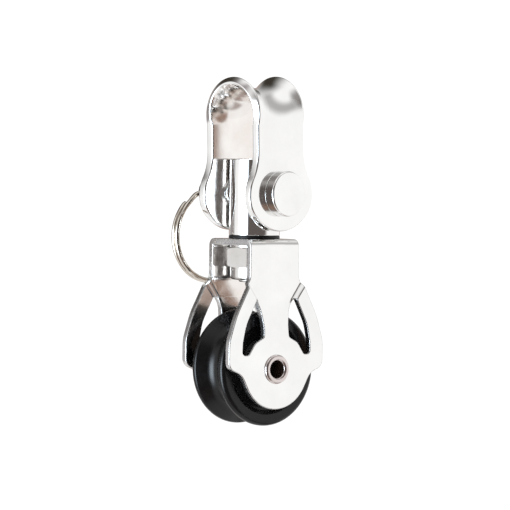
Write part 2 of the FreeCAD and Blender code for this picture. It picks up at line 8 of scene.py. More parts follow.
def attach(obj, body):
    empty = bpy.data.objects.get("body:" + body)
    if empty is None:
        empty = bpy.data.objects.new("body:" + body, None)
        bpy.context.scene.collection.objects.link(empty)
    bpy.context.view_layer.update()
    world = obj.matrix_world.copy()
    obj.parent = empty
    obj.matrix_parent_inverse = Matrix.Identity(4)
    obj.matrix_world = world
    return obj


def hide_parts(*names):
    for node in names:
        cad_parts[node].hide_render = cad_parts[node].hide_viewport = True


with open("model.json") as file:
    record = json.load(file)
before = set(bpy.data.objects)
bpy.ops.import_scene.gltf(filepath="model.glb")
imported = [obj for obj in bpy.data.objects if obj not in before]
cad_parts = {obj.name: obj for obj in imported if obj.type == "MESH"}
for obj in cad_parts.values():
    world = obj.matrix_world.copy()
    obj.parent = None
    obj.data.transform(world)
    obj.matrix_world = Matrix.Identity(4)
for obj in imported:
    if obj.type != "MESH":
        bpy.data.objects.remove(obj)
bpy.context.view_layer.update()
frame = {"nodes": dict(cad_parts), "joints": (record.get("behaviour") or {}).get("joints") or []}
MM = 0.001

# The pin's own frame: X along the pin towards its head, Z up.  The shackle leans a little about the pin,
# and sits towards the pin's head by its play along the pin.
JOINTS = {joint["name"]: joint for joint in frame["joints"]}
PIN_CENTRE = Vector(JOINTS["pin_turn"]["pos_m"])
PIN_AXIS = Vector(JOINTS["pin_turn"]["axis"])
SHACKLE_SHIFT = 0.35
SHACKLE_LEAN = math.radians(1.85)
PIN_TURN = Matrix.Rotation(math.atan2(PIN_AXIS.y, PIN_AXIS.x), 4, "Z")
PIN_PLACE = Matrix.Translation(PIN_CENTRE) @ PIN_TURN @ Matrix.Translation((SHACKLE_SHIFT * MM, 0, 0))
SHACKLE_PLACE = PIN_PLACE @ Matrix.Rotation(SHACKLE_LEAN, 4, "X")


# ---------------------------------------------------------------- camera

CAMERA_PLACE = Vector((0.6467, -0.4940, 0.05196))
CAMERA_TARGET = Vector((0.0, 0.0, 0.02934))
CAMERA_ROLL = math.radians(0.812)
SENSOR_WIDTH = 36.0
LENS_LENGTH = 219.6
LENS_SHIFT = 0.0021


def make_camera():
    """A long lens level with the block, towards the cheek that the pin's head is on."""
    data = bpy.data.cameras.new("camera")
    data.sensor_width = SENSOR_WIDTH
    data.lens = LENS_LENGTH
    data.shift_x = LENS_SHIFT
    data.clip_start = 0.05
    data.clip_end = 20.0
    camera = bpy.data.objects.new("camera", data)
    bpy.context.scene.collection.objects.link(camera)
    aim = (CAMERA_TARGET - CAMERA_PLACE).to_track_quat("-Z", "Y")
    roll = Matrix.Rotation(CAMERA_ROLL, 3, "Z")
    camera.matrix_world = Matrix.Translation(CAMERA_PLACE) @ (aim.to_matrix() @ roll).to_4x4()
    bpy.context.scene.camera = camera


make_camera()


# ---------------------------------------------------------------- outlines

# Largest angle between neighbouring points of a rounded corner; the shackle's ears take the fine one
ARC_STEP = math.radians(7)
FINE_ARC_STEP = math.radians(4)
# Cosine of half a corner's turn, below which an inset loop stops moving further out at that corner
LEAST_MITRE_COSINE = 0.5


def corner_arc(before, corner, after, radius, step):
    """Points of the tangent arc that rounds a corner, a step apart in angle."""
    inward = (before - corner).normalized()
    outward = (after - corner).normalized()
    half_angle = inward.angle(outward) / 2
    setback = radius / math.tan(half_angle)
    enter = corner + inward * setback
    centre = corner + (inward + outward).normalized() * (radius / math.sin(half_angle))
    turn = math.pi - 2 * half_angle
    sign = 1 if (corner - before).cross(after - corner) > 0 else -1
    count = max(2, math.ceil(turn / step))
    spoke = enter - centre
    points = []
    for index in range(count + 1):
        angle = sign * turn * index / count
        across = spoke.x * math.cos(angle) - spoke.y * math.sin(angle)
        up = spoke.x * math.sin(angle) + spoke.y * math.cos(angle)
        points.append(centre + Vector((across, up)))
    return points


def rounded(corners, step=ARC_STEP):
    """A closed outline through corners (across, up, rounding radius), as 2-D points."""
    points = []
    places = [Vector(corner[:2]) for corner in corners]
    for index, corner in enumerate(corners):
        if corner[2] == 0:
            points.append(places[index])
            continue
        before = places[index - 1]
        after = places[(index + 1) % len(corners)]
        points += corner_arc(before, places[index], after, corner[2], step)
    return points


def circle(radius, centre=(0.0, 0.0), count=48):
    """A round hole's edge as 2-D points."""
    points = []
    for index in range(count):
        angle = 2 * math.pi * index / count
        across = centre[0] + radius * math.cos(angle)
        up = centre[1] + radius * math.sin(angle)
        points.append(Vector((across, up)))
    return points


def inset_loop(points, distance, sign):
    """A closed loop moved sideways: inwards for an outer edge (sign 1), outwards for a hole (-1)."""
    moved = []
    count = len(points)
    for index, point in enumerate(points):
        before = (point - points[index - 1]).normalized()
        after = (points[(index + 1) % count] - point).normalized()
        side_before = Vector((-before.y, before.x))
        side_after = Vector((-after.y, after.x))
        mitre = (side_before + side_after).normalized()
        stretch = 1 / max(LEAST_MITRE_COSINE, mitre.dot(side_after))
        moved.append(point + mitre * (distance * stretch * sign))
    return moved


def turns_left(points):
    """Whether a closed loop runs anticlockwise."""
    area = sum(points[i - 1].cross(points[i]) for i in range(len(points)))
    return area > 0


# ---------------------------------------------------------------- mesh makers

def add_object(name, mesh, materials):
    for material in materials:
        mesh.materials.append(material)
    piece = bpy.data.objects.new(name, mesh)
    bpy.context.scene.collection.objects.link(piece)
    return piece


NORMAL_WEIGHT = 70


def even_normals(piece):
    """Keep the large flat faces flat and let the narrow rounded edges carry the shading."""
    modifier = piece.modifiers.new("even_normals", "WEIGHTED_NORMAL")
    modifier.mode = "FACE_AREA_WITH_ANGLE"
    modifier.weight = NORMAL_WEIGHT
    modifier.keep_sharp = True


def finish_mesh(mesh_data, name, flat_faces=()):
    """Bring a mesh made in millimetres to metres, with its faces outwards and shaded smooth."""
    bmesh.ops.scale(mesh_data, vec=(MM, MM, MM), verts=mesh_data.verts)
    bmesh.ops.recalc_face_normals(mesh_data, faces=mesh_data.faces)
    for face in mesh_data.faces:
        face.smooth = face not in flat_faces
    mesh = bpy.data.meshes.new(name)
    mesh_data.to_mesh(mesh)
    mesh_data.free()
    return mesh


# Material numbers of a sheet piece
OUTER_FACE = 0
EDGE = 1
INNER_FACE = 2
EDGE_STEPS = 3
# Narrow flat strip between a face and its rounded edge, which keeps the face's shading even
FLAT_RIM = 0.15
SAME_PLANE = 1e-5


def edge_rings(thickness, edge_radius):
    """The rings of a rounded sheet edge, from outer face to inner face, as (inset, depth)."""
    rings = [(edge_radius + FLAT_RIM, 0)]
    for index in range(EDGE_STEPS + 1):
        angle = math.pi / 2 * index / EDGE_STEPS
        rings.append((edge_radius * (1 - math.sin(angle)), edge_radius * (1 - math.cos(angle))))
    rings += [(inset, thickness - depth) for inset, depth in reversed(rings)]
    return rings


def blank_mesh(outer, holes, rings):
    """A flat blank: a rounded edge round each loop, and the two faces filled in between them."""
    mesh_data = bmesh.new()
    last_strip = len(rings) - 2
    strip_material = {0: OUTER_FACE, last_strip: INNER_FACE}
    face_edges = {OUTER_FACE: [], INNER_FACE: []}
    for number, loop in enumerate([outer] + holes):
        loop = loop if turns_left(loop) else loop[::-1]
        sign = 1 if number == 0 else -1
        rows = [
            [mesh_data.verts.new((p.x, p.y, -depth)) for p in inset_loop(loop, inset, sign)]
            for inset, depth in rings
        ]
        count = len(loop)
        for strip in range(last_strip + 1):
            upper, lower = rows[strip:strip + 2]
            for i in range(count):
                j = (i + 1) % count
                face = mesh_data.faces.new((upper[i], upper[j], lower[j], lower[i]))
                face.material_index = strip_material.get(strip, EDGE)
        for side, row in ((OUTER_FACE, rows[0]), (INNER_FACE, rows[-1])):
            face_edges[side] += [
                mesh_data.edges.get((row[i], row[(i + 1) % count])) for i in range(count)
            ]
    for side, edges in face_edges.items():
        filled = bmesh.ops.triangle_fill(mesh_data, edges=edges, use_beauty=True, use_dissolve=False)
        for part in filled["geom"]:
            if isinstance(part, bmesh.types.BMFace):
                part.material_index = side
    return mesh_data


def sheet_piece(name, outer, holes, thickness, edge_radius, cuts, form, materials):
    """A sheet-metal piece: a flat blank with rounded edges, cut along its bend lines, then formed.

    Its materials are those of the outer face, the edge and the inner face.  Loops are in the blank's
    own plane, and cuts are (point, normal) pairs in that plane.  form takes (across, along, depth),
    where depth is measured down from the outer face, and gives a place.
    """
    mesh_data = blank_mesh(outer, holes, edge_rings(thickness, edge_radius))
    for point, normal in cuts:
        everything = mesh_data.verts[:] + mesh_data.edges[:] + mesh_data.faces[:]
        bmesh.ops.bisect_plane(
            mesh_data, geom=everything, dist=SAME_PLANE,
            plane_co=(point[0], point[1], 0), plane_no=(normal[0], normal[1], 0),
        )
    for vertex in mesh_data.verts:
        vertex.co = form(vertex.co.x, vertex.co.y, -vertex.co.z)
    piece = add_object(name, finish_mesh(mesh_data, name), materials)
    even_normals(piece)
    return piece


def turned_piece(name, profile, materials, segments=144):
    """A turned piece: a closed half profile of (along, radius, material number) spun about X."""
    mesh_data = bmesh.new()
    rows = []
    for index in range(segments):
        angle = 2 * math.pi * index / segments
        row = []
        for along, radius, _ in profile:
            place = (along, radius * math.cos(angle), radius * math.sin(angle))
            row.append(mesh_data.verts.new(place))
        rows.append(row)
    count = len(profile)
    for index in range(segments):
        here = rows[index]
        there = rows[(index + 1) % segments]
        for i in range(count):
            j = (i + 1) % count
            face = mesh_data.faces.new((here[i], here[j], there[j], there[i]))
            face.material_index = profile[i][2]
    piece = add_object(name, finish_mesh(mesh_data, name), materials)
    even_normals(piece)
    return piece


# ---------------------------------------------------------------- materials

# Heights of bump patterns, in metres
POLISH_HEIGHT = 0.00002
MOULD_HEIGHT = 0.00004
TORN_HEIGHT = 0.00005


class Nodes:
    """A material's node tree, with short ways to add and join nodes."""

    def __init__(self, name):
        self.material = bpy.data.materials.new(name)
        self.material.use_nodes = True
        self.tree = self.material.node_tree
        self.shader = self.tree.nodes["Principled BSDF"]
        self.place = self.add("ShaderNodeTexCoord").outputs["Object"]

    def add(self, kind, **inputs):
        node = self.tree.nodes.new(kind)
        for key, value in inputs.items():
            node.inputs[key.replace("_", " ")].default_value = value
        return node

    def link(self, source, target):
        self.tree.links.new(source, target)

    def noise(self, scale, detail=4.0, roughness=0.55, stretch=None):
        """A noise pattern fixed to the piece, if wanted stretched along some axes."""
        node = self.add("ShaderNodeTexNoise", Scale=scale, Detail=detail, Roughness=roughness)
        source = self.place
        if stretch is not None:
            mapping = self.add("ShaderNodeMapping")
            mapping.inputs["Scale"].default_value = stretch
            self.link(self.place, mapping.inputs["Vector"])
            source = mapping.outputs["Vector"]
        self.link(source, node.inputs["Vector"])
        return node.outputs["Fac"]

    def spread(self, source, low, high, from_low=0.3, from_high=0.7):
        """A pattern's values spread over a range of numbers."""
        node = self.add("ShaderNodeMapRange")
        node.inputs["From Min"].default_value = from_low
        node.inputs["From Max"].default_value = from_high
        node.inputs["To Min"].default_value = low
        node.inputs["To Max"].default_value = high
        self.link(source, node.inputs["Value"])
        return node.outputs["Result"]

    def tint(self, source, first, second, from_low=0.3, from_high=0.7):
        """A pattern's values turned into colours between two."""
        ramp = self.add("ShaderNodeValToRGB")
        ramp.color_ramp.elements[0].position = from_low
        ramp.color_ramp.elements[1].position = from_high
        ramp.color_ramp.elements[0].color = (*first, 1)
        ramp.color_ramp.elements[1].color = (*second, 1)
        self.link(source, ramp.inputs["Fac"])
        return ramp.outputs["Color"]

    def bump(self, source, strength, distance, below=None):
        """A surface relief from a pattern, if wanted on top of another relief."""
        node = self.add("ShaderNodeBump", Strength=strength, Distance=distance)
        self.link(source, node.inputs["Height"])
        if below is not None:
            self.link(below, node.inputs["Normal"])
        return node.outputs["Normal"]


def steel(name, light, dark, roughness, grain=0.04, scratch=0.05):
    """Stainless steel: handling haze, faint polishing lines and tiny pits."""
    nodes = Nodes(name)
    nodes.shader.inputs["Metallic"].default_value = 1.0
    haze = nodes.noise(scale=140.0, detail=5.0)
    nodes.link(nodes.tint(haze, dark, light), nodes.shader.inputs["Base Color"])
    smears = nodes.noise(scale=420.0, detail=6.0, roughness=0.65)
    nodes.link(nodes.spread(smears, *roughness), nodes.shader.inputs["Roughness"])
    lines = nodes.noise(scale=900.0, detail=3.0, roughness=0.6, stretch=(1.0, 1.0, 0.06))
    pits = nodes.noise(scale=2600.0, detail=2.0, roughness=0.5)
    lined = nodes.bump(lines, scratch, POLISH_HEIGHT)
    pitted = nodes.bump(pits, grain, POLISH_HEIGHT, lined)
    nodes.link(pitted, nodes.shader.inputs["Normal"])
    return nodes.material


def cut_edge():
    """The sheared edge of the sheet: duller than its face, with a torn speckle."""
    nodes = Nodes("cut_edge_steel")
    nodes.shader.inputs["Metallic"].default_value = 1.0
    speckle = nodes.noise(scale=1500.0, detail=5.0, roughness=0.7)
    colour = nodes.tint(speckle, (0.42, 0.41, 0.41), (0.80, 0.79, 0.78))
    nodes.link(colour, nodes.shader.inputs["Base Color"])
    nodes.link(nodes.spread(speckle, 0.34, 0.18), nodes.shader.inputs["Roughness"])
    tears = nodes.noise(scale=2200.0, detail=4.0, roughness=0.7)
    nodes.link(nodes.bump(tears, 0.35, TORN_HEIGHT), nodes.shader.inputs["Normal"])
    return nodes.material


def black_plastic(name, roughness, shine):
    """Moulded black plastic, scuffed a little paler where it has been rubbed."""
    nodes = Nodes(name)
    wear = nodes.noise(scale=230.0, detail=6.0, roughness=0.65)
    colour = nodes.tint(wear, (0.003, 0.003, 0.0035), (0.008, 0.008, 0.009))
    nodes.link(colour, nodes.shader.inputs["Base Color"])
    nodes.link(nodes.spread(wear, *roughness), nodes.shader.inputs["Roughness"])
    nodes.shader.inputs["Specular IOR Level"].default_value = shine
    grain = nodes.noise(scale=1800.0, detail=3.0, roughness=0.6)
    nodes.link(nodes.bump(grain, 0.10, MOULD_HEIGHT), nodes.shader.inputs["Normal"])
    return nodes.material


def pale_plastic():
    """Unfilled bearing plastic, slightly stained."""
    nodes = Nodes("bearing_plastic")
    blotch_noise = nodes.noise(scale=260.0, detail=5.0)
    colour = nodes.tint(blotch_noise, (0.62, 0.58, 0.48), (0.78, 0.75, 0.66))
    nodes.link(colour, nodes.shader.inputs["Base Color"])
    nodes.link(nodes.spread(blotch_noise, 0.50, 0.38), nodes.shader.inputs["Roughness"])
    grain = nodes.noise(scale=1600.0)
    nodes.link(nodes.bump(grain, 0.12, MOULD_HEIGHT), nodes.shader.inputs["Normal"])
    return nodes.material


def shaded_bore_steel():
    """The rivet's unpolished bore, coloured a dark brown that is painted shade for the inside of the
    hollow tube.
    """
    nodes = Nodes("rivet_bore_painted_shade")
    nodes.shader.inputs["Metallic"].default_value = 0.6
    blotch_noise = nodes.noise(scale=700.0, detail=5.0, roughness=0.6)
    # Near-black browns: painted shade inside the rivet's bore
    colour = nodes.tint(blotch_noise, (0.030, 0.018, 0.014), (0.10, 0.062, 0.050))
    nodes.link(colour, nodes.shader.inputs["Base Color"])
    nodes.link(nodes.spread(blotch_noise, 0.35, 0.6), nodes.shader.inputs["Roughness"])
    nodes.link(nodes.bump(blotch_noise, 0.2, TORN_HEIGHT), nodes.shader.inputs["Normal"])
    return nodes.material


# Steels: lightest and darkest tint, least and most roughness, and for some their own grain and scratches
POLISHED = steel("polished_steel", (0.90, 0.895, 0.885), (0.84, 0.835, 0.825), (0.05, 0.11))
# The sheets' inner faces: the same steel as their outer faces, tinted warmer and darker; this tint is
# painted shade and painted warm reflection for the faces inside the crown and between the cheeks
INNER = steel("inner_steel_painted_shade", (0.91, 0.885, 0.86), (0.82, 0.765, 0.73), (0.11, 0.20), 0.03, 0.04)
TURNED = steel("turned_steel", (0.72, 0.70, 0.68), (0.60, 0.58, 0.56), (0.12, 0.22), 0.08, 0.15)
RIVET = steel("rivet_steel", (0.72, 0.65, 0.63), (0.58, 0.51, 0.49), (0.16, 0.26), 0.08, 0.12)
WIRE = steel("ring_wire_steel", (0.72, 0.67, 0.60), (0.58, 0.52, 0.45), (0.08, 0.16), 0.05, 0.08)
CUT_EDGE = cut_edge()
BLACK = black_plastic("black_sheave_plastic", (0.17, 0.24), shine=0.27)
WASHER_BLACK = black_plastic("black_washer_plastic", (0.38, 0.50), shine=0.24)
PALE = pale_plastic()
# The bore's dark brown is painted shade for the inside of the hollow rivet
BORE = shaded_bore_steel()

NODE_FINISH = {
    "axle_tube": TURNED,
    "axle_sleeve": TURNED,
    "sheave": BLACK,
    "sheave_bush": PALE,
    "side_washer_near": PALE,
    "side_washer_far": PALE,
    "swivel_post": POLISHED,
    "swivel_washer": WASHER_BLACK,
    "nut_washer": TURNED,
    "lock_nut": TURNED,
    "lock_nut_insert": PALE,
    "clevis_pin": POLISHED,
    "cheek_strap": POLISHED,
    "shackle_strap": POLISHED,
    "split_ring": WIRE,
}
for node_name, finish in NODE_FINISH.items():
    node = frame["nodes"][node_name]
    node.data.materials.clear()
    node.data.materials.append(finish)


# ---------------------------------------------------------------- cheek strap

SHEET = 1.71
NECK_HALF = 9.1
CHEEK_HALF = 10.29
NECK_WIDTH_HALF = 7.95
BRIDGE_TOP = 33.66
BRIDGE_BEND = 2.0
LOBE_RADIUS = 10.44
LEG_WIDTH_HALF = 15.35
SPREAD = CHEEK_HALF - NECK_HALF
SPREAD_TOP = 18.1
SPREAD_BOTTOM = 8.0
# Crease where each leg steps outwards from the neck, and half the width of that step
CREASE_OUTER = Vector((9.05, 22.2))
CREASE_INNER = Vector((6.1, 18.1))
CREASE_RUN = (CREASE_INNER - CREASE_OUTER).normalized()
TOWARDS_LEG = Vector((-CREASE_RUN.y, CREASE_RUN.x))
JOGGLE_HALF = 0.75
# Line down the middle of a window, between spine and leg: its top, and how far it leans outwards
WINDOW_TOP = Vector((6.15, 18.3))
WINDOW_LEAN = 0.2
# From this far above SPREAD_TOP down, the spine has its own slope, and between the two heights of
# CREASE_FADE the crease fades out of it
SPINE_MARGIN = 0.4
CREASE_FADE = (16.6, 18.4)
BRIDGE_FLAT_HALF = NECK_HALF - BRIDGE_BEND
BEND_LENGTH = BRIDGE_BEND * math.pi / 2
NECK_START = BRIDGE_FLAT_HALF + BEND_LENGTH
RIVET_HOLE = 3.02
SWIVEL_HOLE = 4.05
CHEEK_EDGE = 0.22

# One side of the cheek's outline, from the neck down: across, up, rounding radius
CHEEK_FLANK = [
    (NECK_WIDTH_HALF, 23.6, 3.0),  # foot of the neck
    (13.1, 14.0, 18.0),  # shoulder of the leg
    (LEG_WIDTH_HALF, 7.2, 10.0),  # top of the leg's upright side
    (LEG_WIDTH_HALF, 0.4, 2.6),  # foot of the leg's upright side
    (11.2, -1.2, 4.0),  # waist between leg and lobe
]
# The lobe's round edge starts and ends this far below the axle's level
LOBE_START = math.radians(28.2)

# One window's edge: across, up, rounding radius
CHEEK_WINDOW = [
    (6.2, 18.7, 0.45),  # apex
    (4.6, 15.2, 6.0),  # shoulder of the spine
    (3.95, 11.0, 8.0),  # waist of the spine
    (4.1, 8.3, 0.8),  # foot of the spine
    (6.9, 6.9, 3.0),  # over the lobe
    (9.0, 3.8, 0.8),  # inner end of the foot
    (11.0, 3.8, 0.9),  # outer end of the foot
    (10.9, 7.0, 6.0),  # lower edge of the leg
    (9.9, 11.6, 10.0),  # upper edge of the leg
]


def blank_along(height):
    """How far along the blank, from the bridge's centre, a height on a cheek lies."""
    return NECK_START + (BRIDGE_TOP - BRIDGE_BEND) - height


def smooth_step(value, low, high):
    """0 up to low, 1 from high, and an even curve between them."""
    share = min(1.0, max(0.0, (value - low) / (high - low)))
    return share * share * (3 - 2 * share)


def crease_distance(across, height):
    """Distance from the crease, positive on the leg's side."""
    return (Vector((abs(across), height)) - CREASE_INNER).dot(TOWARDS_LEG)


def cheek_spread(across, height):
    """How far a cheek's sheet stands outside the neck's plane, as a share of the full step."""
    step = smooth_step(crease_distance(across, height), -JOGGLE_HALF, JOGGLE_HALF)
    window_middle = WINDOW_TOP.x + (WINDOW_TOP.y - height) * WINDOW_LEAN
    if height > SPREAD_TOP + SPINE_MARGIN or abs(across) > window_middle:
        return step
    slope = smooth_step(-height, -SPREAD_TOP, -SPREAD_BOTTOM)
    return max(slope, step * smooth_step(height, *CREASE_FADE))


def form_cheek_strap(across, along, depth):
    """Bend the flat blank over the swivel and set its cheeks outwards."""
    side = 1 if along >= 0 else -1
    reach = abs(along)
    if reach <= BRIDGE_FLAT_HALF:
        return Vector((side * reach, across, BRIDGE_TOP - depth))
    if reach < NECK_START:
        angle = (reach - BRIDGE_FLAT_HALF) / BRIDGE_BEND
        radius = BRIDGE_BEND - depth
        out = BRIDGE_FLAT_HALF + radius * math.sin(angle)
        return Vector((side * out, across, BRIDGE_TOP - BRIDGE_BEND + radius * math.cos(angle)))
    height = BRIDGE_TOP - BRIDGE_BEND - (reach - NECK_START)
    out = NECK_HALF - depth + SPREAD * cheek_spread(across, height)
    return Vector((side * out, across, height))


def cheek_outline():
    """The blank's outer edge, from the near cheek's right side down, round and over to the far cheek."""
    lobe = []
    lobe_steps = 22
    for index in range(lobe_steps + 1):
        angle = -LOBE_START - (math.pi - 2 * LOBE_START) * index / lobe_steps
        lobe.append((LOBE_RADIUS * math.cos(angle), LOBE_RADIUS * math.sin(angle), 0))
    other_flank = [(-across, up, radius) for across, up, radius in reversed(CHEEK_FLANK)]
    cheek = CHEEK_FLANK + lobe + other_flank
    near = [(across, blank_along(up), radius) for across, up, radius in cheek]
    far = [(-across, -along, radius) for across, along, radius in near]
    return rounded(near + far)


def cheek_windows():
    """The four windows between spine and legs."""
    windows = []
    for mirror in (1, -1):
        for side in (1, -1):
            corners = [
                (mirror * across, side * blank_along(up), radius) for across, up, radius in CHEEK_WINDOW
            ]
            windows.append(rounded(corners))
    return windows


def cheek_cuts():
    """Where the blank has to bend: round the bridge's corners, along the creases and down the spine."""
    cuts = []
    bend_steps = 8
    spread_steps = 8
    crease_steps = 8
    for side in (1, -1):
        for index in range(bend_steps + 1):
            along = side * (BRIDGE_FLAT_HALF + BEND_LENGTH * index / bend_steps)
            cuts.append(((0, along), (0, 1)))
        for index in range(spread_steps + 1):
            height = SPREAD_TOP + (SPREAD_BOTTOM - SPREAD_TOP) * index / spread_steps
            cuts.append(((0, side * blank_along(height)), (0, 1)))
        for mirror in (1, -1):
            for index in range(crease_steps + 1):
                shift = JOGGLE_HALF * (2 * index / crease_steps - 1)
                point = CREASE_INNER + TOWARDS_LEG * shift
                place = (mirror * point.x, side * blank_along(point.y))
                cuts.append((place, (mirror * TOWARDS_LEG.x, -side * TOWARDS_LEG.y)))
    return cuts


def make_cheek_strap():
    """The strap with its windows, the rivet's two holes and the swivel's hole."""
    axle_along = blank_along(0)
    holes = cheek_windows() + [
        circle(RIVET_HOLE, centre=(0, axle_along)),
        circle(RIVET_HOLE, centre=(0, -axle_along)),
        circle(SWIVEL_HOLE),
    ]
    strap = sheet_piece(
        "cheek_strap_formed", cheek_outline(), holes, SHEET, CHEEK_EDGE, cheek_cuts(), form_cheek_strap,
        [POLISHED, CUT_EDGE, INNER],
    )
    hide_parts("cheek_strap")
    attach(strap, "frame")


# ---------------------------------------------------------------- shackle strap

SHACKLE_HALF = 9.58
STRAP = 2.3
STRAP_WIDTH_HALF = 8.4
EAR_WIDTH_HALF = 11.55
LEG_TOP = 17.9
CROWN_FLARE = 3.16
CROWN_NARROWING = 0.66
CROWN_LENGTH = math.pi * SHACKLE_HALF
PIN_ALONG = CROWN_LENGTH / 2 + LEG_TOP
LEAST_FLARE = 0.02
PIN_HOLE = 3.85
SHACKLE_EDGE = 0.45

# One side of an ear's outline, from the strap down: across, up from the pin, rounding radius
EAR_FLANK = [
    (STRAP_WIDTH_HALF, 7.4, 13.0),  # neck between strap and ear
    (EAR_WIDTH_HALF, 2.05, 9.2),  # top of the ear's side
    (EAR_WIDTH_HALF, -3.6, 7.1),  # foot of the ear's side
    (5.2, -9.75, 12.4),  # bottom of the ear
]


def form_shackle_strap(across, along, depth):
    """Bend the flat blank into the shackle: along is 0 at the crown's top."""
    side = 1 if along >= 0 else -1
    reach = abs(along)
    if reach >= CROWN_LENGTH / 2:
        height = LEG_TOP - (reach - CROWN_LENGTH / 2)
        return Vector((side * (SHACKLE_HALF - depth), across, height))
    angle = math.pi / 2 - reach / SHACKLE_HALF
    rise = math.sin(angle)
    flare = LEAST_FLARE + (CROWN_FLARE - LEAST_FLARE) * rise
    half_chord = STRAP_WIDTH_HALF - CROWN_NARROWING * rise
    arc_radius = (half_chord ** 2 + flare ** 2) / (2 * flare)
    turn = math.asin(half_chord / arc_radius) * across / STRAP_WIDTH_HALF
    radius = arc_radius + depth
    out = SHACKLE_HALF + arc_radius - radius * math.cos(turn)
    place_across = radius * math.sin(turn)
    return Vector((side * out * math.cos(angle), place_across, LEG_TOP + out * math.sin(angle)))


def shackle_outline():
    """The blank's edge: two broad ears joined by a straight strap."""
    side = EAR_FLANK + [(-across, up, radius) for across, up, radius in reversed(EAR_FLANK)]
    near = [(across, PIN_ALONG - up, radius) for across, up, radius in side]
    far = [(-across, -along, radius) for across, along, radius in near]
    return rounded(near + far, FINE_ARC_STEP)


def shackle_cuts():
    """Where the blank has to bend: across it all over the crown, and along it for the flare."""
    crown_steps = 56
    strips = 20
    cuts = []
    for index in range(crown_steps + 1):
        along = CROWN_LENGTH * (index / crown_steps - 0.5)
        cuts.append(((0, along), (0, 1)))
    for index in range(1, strips):
        across = STRAP_WIDTH_HALF * (2 * index / strips - 1)
        cuts.append(((across, 0), (1, 0)))
    return cuts


def make_shackle_strap():
    """The strap with its two pin holes, leaning about the pin."""
    holes = [circle(PIN_HOLE, centre=(0, along)) for along in (PIN_ALONG, -PIN_ALONG)]
    strap = sheet_piece(
        "shackle_strap_formed", shackle_outline(), holes, STRAP, SHACKLE_EDGE, shackle_cuts(),
        form_shackle_strap, [POLISHED, POLISHED, INNER],
    )
    strap.data.transform(SHACKLE_PLACE)
    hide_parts("shackle_strap")
    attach(strap, "shackle")


# ---------------------------------------------------------------- split ring

RING_REACH = 16.0
RING_RADIUS = 11.8
RING_WIRE = 0.66
RING_PITCH = 1.35
RING_RISE = 0.25
RING_YAW = math.radians(-5.0)
PIN_ROLL = math.radians(-3.97)
# Where the wire's first end lies, and the arc over which it steps from one turn to the other
RING_FIRST_END = math.radians(136)
RING_STEP_ARC = math.radians(24)
# The wire's ends are dressed down to this share of its thickness
WIRE_END_SHARE = 0.82


def make_split_ring():
    """Two turns of round wire: each turn lies in its own plane but for a short step between them."""
    steps_per_turn = 120
    section = 16
    turn = 2 * math.pi - RING_STEP_ARC
    total = 2 * turn + RING_STEP_ARC
    count = round(total / (2 * math.pi) * steps_per_turn)
    mesh_data = bmesh.new()
    rows = []
    for index in range(count + 1):
        travelled = total * index / count
        angle = RING_FIRST_END - RING_STEP_ARC - travelled
        side = RING_PITCH / 2 - RING_PITCH * smooth_step(travelled, turn, turn + RING_STEP_ARC)
        spoke = Vector((0, math.cos(angle), math.sin(angle)))
        centre = spoke * RING_RADIUS + Vector((side, 0, RING_RISE - RING_RADIUS))
        radius = RING_WIRE * (WIRE_END_SHARE if index in (0, count) else 1)
        row = []
        for k in range(section):
            around = 2 * math.pi * k / section
            offset = spoke * (radius * math.cos(around)) + Vector((radius * math.sin(around), 0, 0))
            row.append(mesh_data.verts.new(centre + offset))
        rows.append(row)
    for here, there in zip(rows, rows[1:]):
        for k in range(section):
            m = (k + 1) % section
            mesh_data.faces.new((here[k], here[m], there[m], there[k]))
    ends = [mesh_data.faces.new(row) for row in (rows[0], rows[-1])]
    mesh = finish_mesh(mesh_data, "split_ring_wire", flat_faces=ends)
    hole = Matrix.Translation((-RING_REACH * MM, 0, 0))
    hang = Matrix.Rotation(PIN_ROLL, 4, "X") @ hole @ Matrix.Rotation(RING_YAW, 4, "Z")
    mesh.transform(PIN_PLACE @ hang)
    ring = add_object("split_ring_wire", mesh, [WIRE])
    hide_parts("split_ring")
    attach(ring, "ring")


# ---------------------------------------------------------------- hollow rivet

CHEEK_FACE = 10.31
RIVET_TOP = 10.98
RIVET_RADIUS = 3.0
RIVET_BORE = 2.25
RIVET_FLANGE = 3.81
# Upright outer edge of the lip, below its round
LIP_SKIRT = 0.12
# Material numbers of the rivet
RIVET_BODY = 0
RIVET_INSIDE = 1


def make_rivet():
    """A tube whose ends are rolled over into rounded lips against the cheeks."""
    lip_steps = 14
    lip_middle = (RIVET_FLANGE + RIVET_BORE) / 2
    lip_half = (RIVET_FLANGE - RIVET_BORE) / 2
    lip_foot = CHEEK_FACE + LIP_SKIRT
    near = [(CHEEK_FACE, RIVET_RADIUS, RIVET_BODY), (CHEEK_FACE, RIVET_FLANGE, RIVET_BODY)]
    for index in range(lip_steps + 1):
        angle = math.pi * index / lip_steps
        along = lip_foot + (RIVET_TOP - lip_foot) * math.sin(angle)
        near.append((along, lip_middle + lip_half * math.cos(angle), RIVET_BODY))
    far = [(-along, radius, RIVET_BODY) for along, radius, _ in reversed(near)]
    # The strip that starts at the near lip's last point is the bore
    bore_along, bore_radius, _ = near.pop()
    near.append((bore_along, bore_radius, RIVET_INSIDE))
    rivet = turned_piece("axle_rivet", near + far, [RIVET, BORE])
    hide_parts("axle_tube")
    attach(rivet, "frame")


make_split_ring()
make_cheek_strap()
make_shackle_strap()
make_rivet()


# ---------------------------------------------------------------- studio

CARD_COLUMNS = 48
CARD_ROWS = 20
CARD_CENTRE_HEIGHT = 0.03
WORLD_STRENGTH = 1.07
FLOOR_LEVEL = -0.85
FLOOR_REACH = 2.5


